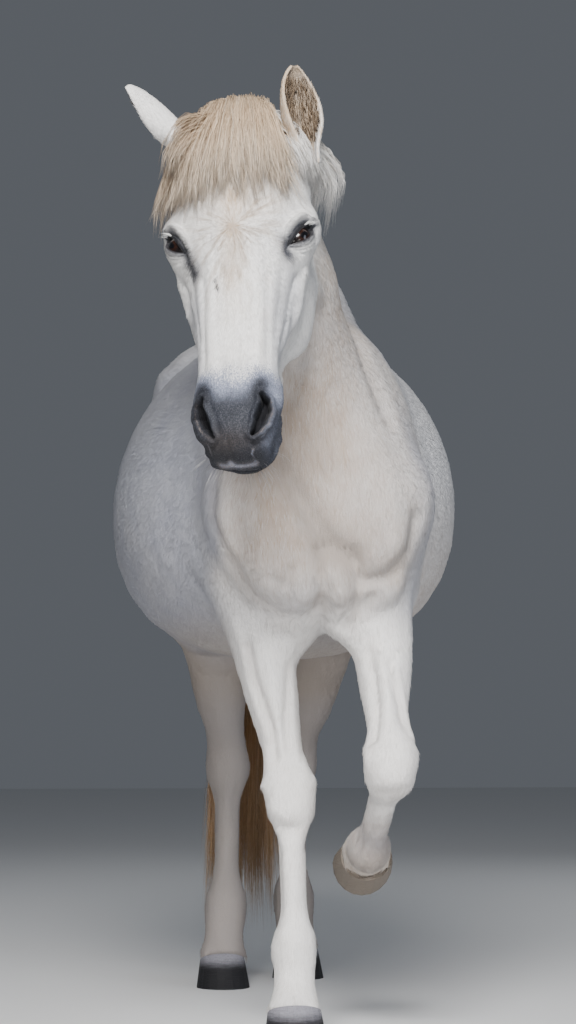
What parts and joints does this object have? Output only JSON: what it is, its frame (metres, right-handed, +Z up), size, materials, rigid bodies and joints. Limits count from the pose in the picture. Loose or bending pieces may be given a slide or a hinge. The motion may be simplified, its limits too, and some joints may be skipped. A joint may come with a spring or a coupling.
{
  "type": "pony",
  "caption": "Life-size still model of a white pony walking, one foreleg lifted, head bent to its right, with forelock, mane and long tail.",
  "frame": {"origin": "middle of the bounding box's bottom, on the floor under the pony's belly", "axes": "+Z up, -Y the way the pony walks, +X the pony's left side"},
  "size_m": [0.5986, 1.7574, 1.4661],
  "materials": {
    "coat": "short white fur, matte",
    "dark_horn": "dark worn hoof horn",
    "pale_horn": "dusty pale hoof sole and horn",
    "eye": "wet dark brown",
    "forelock_hair": "tan and cream hair",
    "mane_hair": "cream and grey hair",
    "tail_hair": "brown hair, paler towards the tips"
  },
  "bodies": {
    "root": {"torso": "coat", "neck": "coat", "head": "coat", "foreleg_right_upper": "coat", "foreleg_right_lower": "coat", "foreleg_left_upper": "coat", "foreleg_left_lower": "coat", "hindleg_right_upper": "coat", "hindleg_right_lower": "coat", "hindleg_left_upper": "coat", "hindleg_left_lower": "coat", "hoof_fore_right": "dark_horn", "hoof_fore_left": "pale_horn", "hoof_hind_right": "dark_horn", "hoof_hind_left": "dark_horn", "eye_left": "eye", "eye_right": "eye", "ear_left": "coat", "ear_right": "coat", "forelock": "forelock_hair", "mane": "mane_hair", "tail": "tail_hair"}
  },
  "joints": []
}
